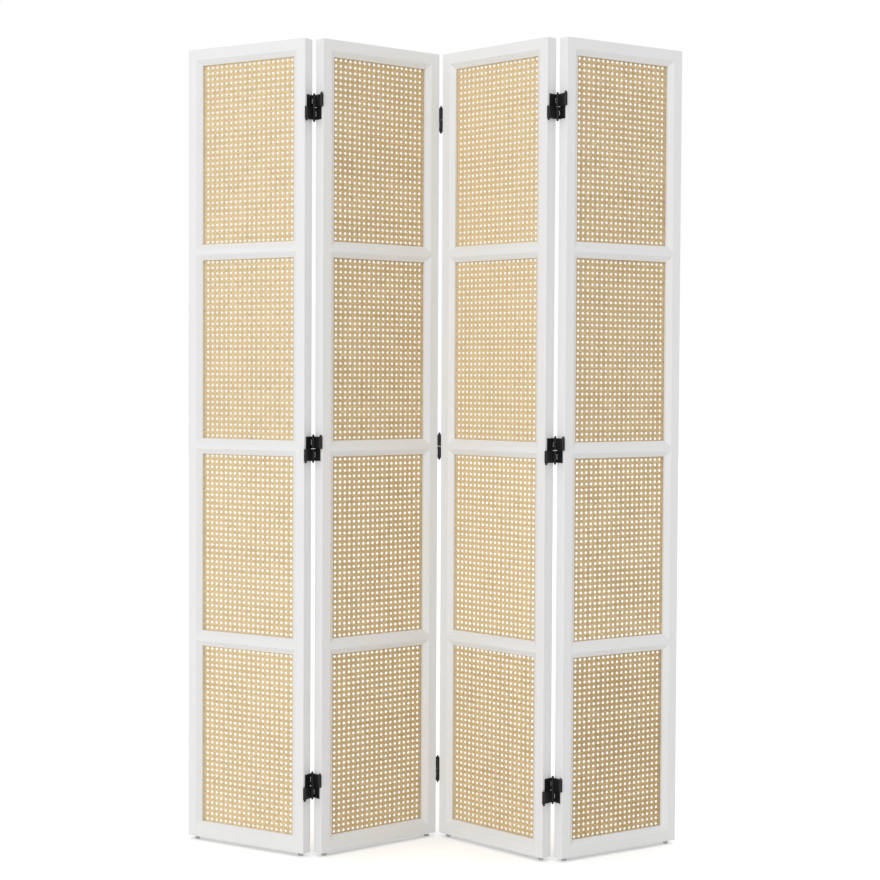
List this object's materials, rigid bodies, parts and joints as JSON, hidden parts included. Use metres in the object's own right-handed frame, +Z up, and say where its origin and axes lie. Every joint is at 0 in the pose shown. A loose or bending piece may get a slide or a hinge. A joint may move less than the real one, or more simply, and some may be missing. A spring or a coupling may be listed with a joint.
{
  "type": "room divider",
  "caption": "Folding room divider: tall painted wooden frames with bevelled openings, woven cane panels and double-action hinges, standing in a zig-zag on small glides.",
  "frame": {"origin": "middle of the standing screen's box, on the floor plane under the glides", "axes": "+Z up, +X along the row of panels to the right as seen from the front, +Y from the front to the back"},
  "size_m": [1.1204, 0.2726, 1.808],
  "materials": {
    "painted_wood": "white satin paint",
    "cane": "natural woven cane",
    "hinge_metal": "satin black",
    "glide_plastic": "matt grey"
  },
  "bodies": {
    "panel_1": {"panel_1_left_stile": "painted_wood", "panel_1_right_stile": "painted_wood", "panel_1_bottom_rail": "painted_wood", "panel_1_lower_rail": "painted_wood", "panel_1_middle_rail": "painted_wood", "panel_1_upper_rail": "painted_wood", "panel_1_top_rail": "painted_wood", "panel_1_cane": "cane", "panel_1_beads": "painted_wood", "panel_1_glides": "glide_plastic", "panel_1_hinge_pins": "hinge_metal", "panel_1_hinge_screws": "hinge_metal", "hinges_1_2_left_leaves": "hinge_metal", "hinges_1_2_lower_links": "hinge_metal"},
    "panel_2": {"panel_2_left_stile": "painted_wood", "panel_2_right_stile": "painted_wood", "panel_2_bottom_rail": "painted_wood", "panel_2_lower_rail": "painted_wood", "panel_2_middle_rail": "painted_wood", "panel_2_upper_rail": "painted_wood", "panel_2_top_rail": "painted_wood", "panel_2_cane": "cane", "panel_2_beads": "painted_wood", "panel_2_glides": "glide_plastic", "panel_2_hinge_pins": "hinge_metal", "panel_2_hinge_screws": "hinge_metal", "hinges_1_2_right_leaves": "hinge_metal", "hinges_1_2_upper_links": "hinge_metal", "hinges_2_3_left_leaves": "hinge_metal", "hinges_2_3_upper_links": "hinge_metal"},
    "panel_3": {"panel_3_left_stile": "painted_wood", "panel_3_right_stile": "painted_wood", "panel_3_bottom_rail": "painted_wood", "panel_3_lower_rail": "painted_wood", "panel_3_middle_rail": "painted_wood", "panel_3_upper_rail": "painted_wood", "panel_3_top_rail": "painted_wood", "panel_3_cane": "cane", "panel_3_beads": "painted_wood", "panel_3_glides": "glide_plastic", "panel_3_hinge_pins": "hinge_metal", "panel_3_hinge_screws": "hinge_metal", "hinges_2_3_right_leaves": "hinge_metal", "hinges_2_3_lower_links": "hinge_metal", "hinges_3_4_left_leaves": "hinge_metal", "hinges_3_4_lower_links": "hinge_metal"},
    "panel_4": {"panel_4_left_stile": "painted_wood", "panel_4_right_stile": "painted_wood", "panel_4_bottom_rail": "painted_wood", "panel_4_lower_rail": "painted_wood", "panel_4_middle_rail": "painted_wood", "panel_4_upper_rail": "painted_wood", "panel_4_top_rail": "painted_wood", "panel_4_cane": "cane", "panel_4_beads": "painted_wood", "panel_4_glides": "glide_plastic", "panel_4_hinge_pins": "hinge_metal", "panel_4_hinge_screws": "hinge_metal", "hinges_3_4_right_leaves": "hinge_metal", "hinges_3_4_upper_links": "hinge_metal"}
  },
  "joints": [
    {"name": "fold_1_2", "type": "hinge", "parent": "panel_2", "child": "panel_1", "pos_m": [-0.26432, -0.07551, 0], "axis": [0, 0, -1], "range_deg": [-69.7, 108.3]},
    {"name": "fold_2_3", "type": "hinge", "parent": "panel_2", "child": "panel_3", "pos_m": [0.01484, 0.10974, 0], "axis": [0, 0, -1], "range_deg": [-84, 94]},
    {"name": "fold_3_4", "type": "hinge", "parent": "panel_3", "child": "panel_4", "pos_m": [0.26935, -0.10815, 0], "axis": [0, 0, 1], "range_deg": [-78.6, 99.4]}
  ]
}
